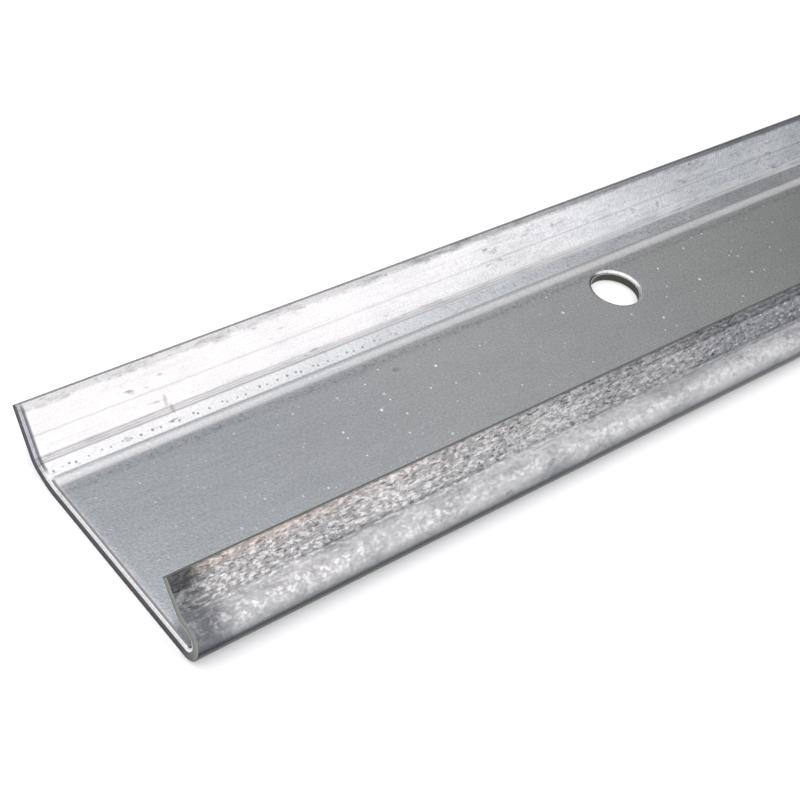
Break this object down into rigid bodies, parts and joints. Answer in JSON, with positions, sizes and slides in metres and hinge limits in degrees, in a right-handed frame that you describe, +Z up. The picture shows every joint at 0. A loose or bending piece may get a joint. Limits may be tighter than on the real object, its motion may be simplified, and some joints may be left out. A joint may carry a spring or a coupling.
{
  "type": "edging rail",
  "caption": "Roll-formed galvanised steel edging rail: flat web with fixing holes, back edge bent up in two steps, front edge rolled over into an open hook with a flared lip.",
  "frame": {"origin": "middle of the rail's base, under the centre of its overall box", "axes": "+X along the rail, +Y across the web towards the upstand, +Z up, away from the face that rests"},
  "size_m": [0.544, 0.0592, 0.0125],
  "materials": {
    "galvanised_steel": "dull galvanised zinc, rolled and mottled"
  },
  "bodies": {
    "root": {"edging_rail": "galvanised_steel"}
  },
  "joints": []
}
